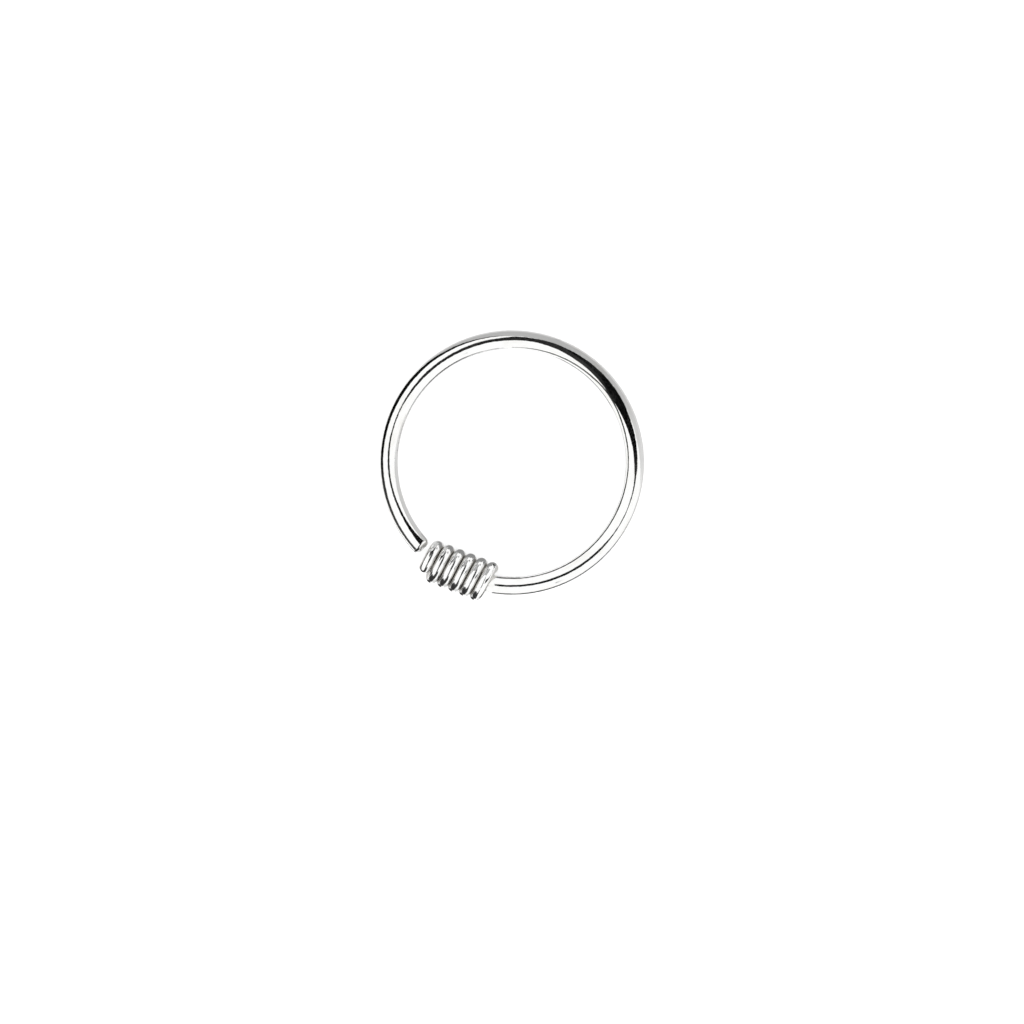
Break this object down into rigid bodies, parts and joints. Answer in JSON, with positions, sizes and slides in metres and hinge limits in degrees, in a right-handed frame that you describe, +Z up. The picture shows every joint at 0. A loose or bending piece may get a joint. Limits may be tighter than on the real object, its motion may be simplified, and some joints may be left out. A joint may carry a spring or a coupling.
{
  "type": "nose ring",
  "caption": "Open hoop of round silver wire with one end seated in a short coil of finer wire and the other end free beside it; worn through a piercing.",
  "frame": {"origin": "on the surface that the ring lies on, under the centre of the hoop", "axes": "+Z up from that surface, +X along the coil towards its mouth, +Y from the coil to the far side of the hoop"},
  "size_m": [0.0092, 0.0096, 0.0015],
  "materials": {
    "hoop_wire": "polished silver",
    "coil_wire": "polished silver"
  },
  "bodies": {
    "root": {"hoop": "hoop_wire", "coil": "coil_wire"}
  },
  "joints": []
}
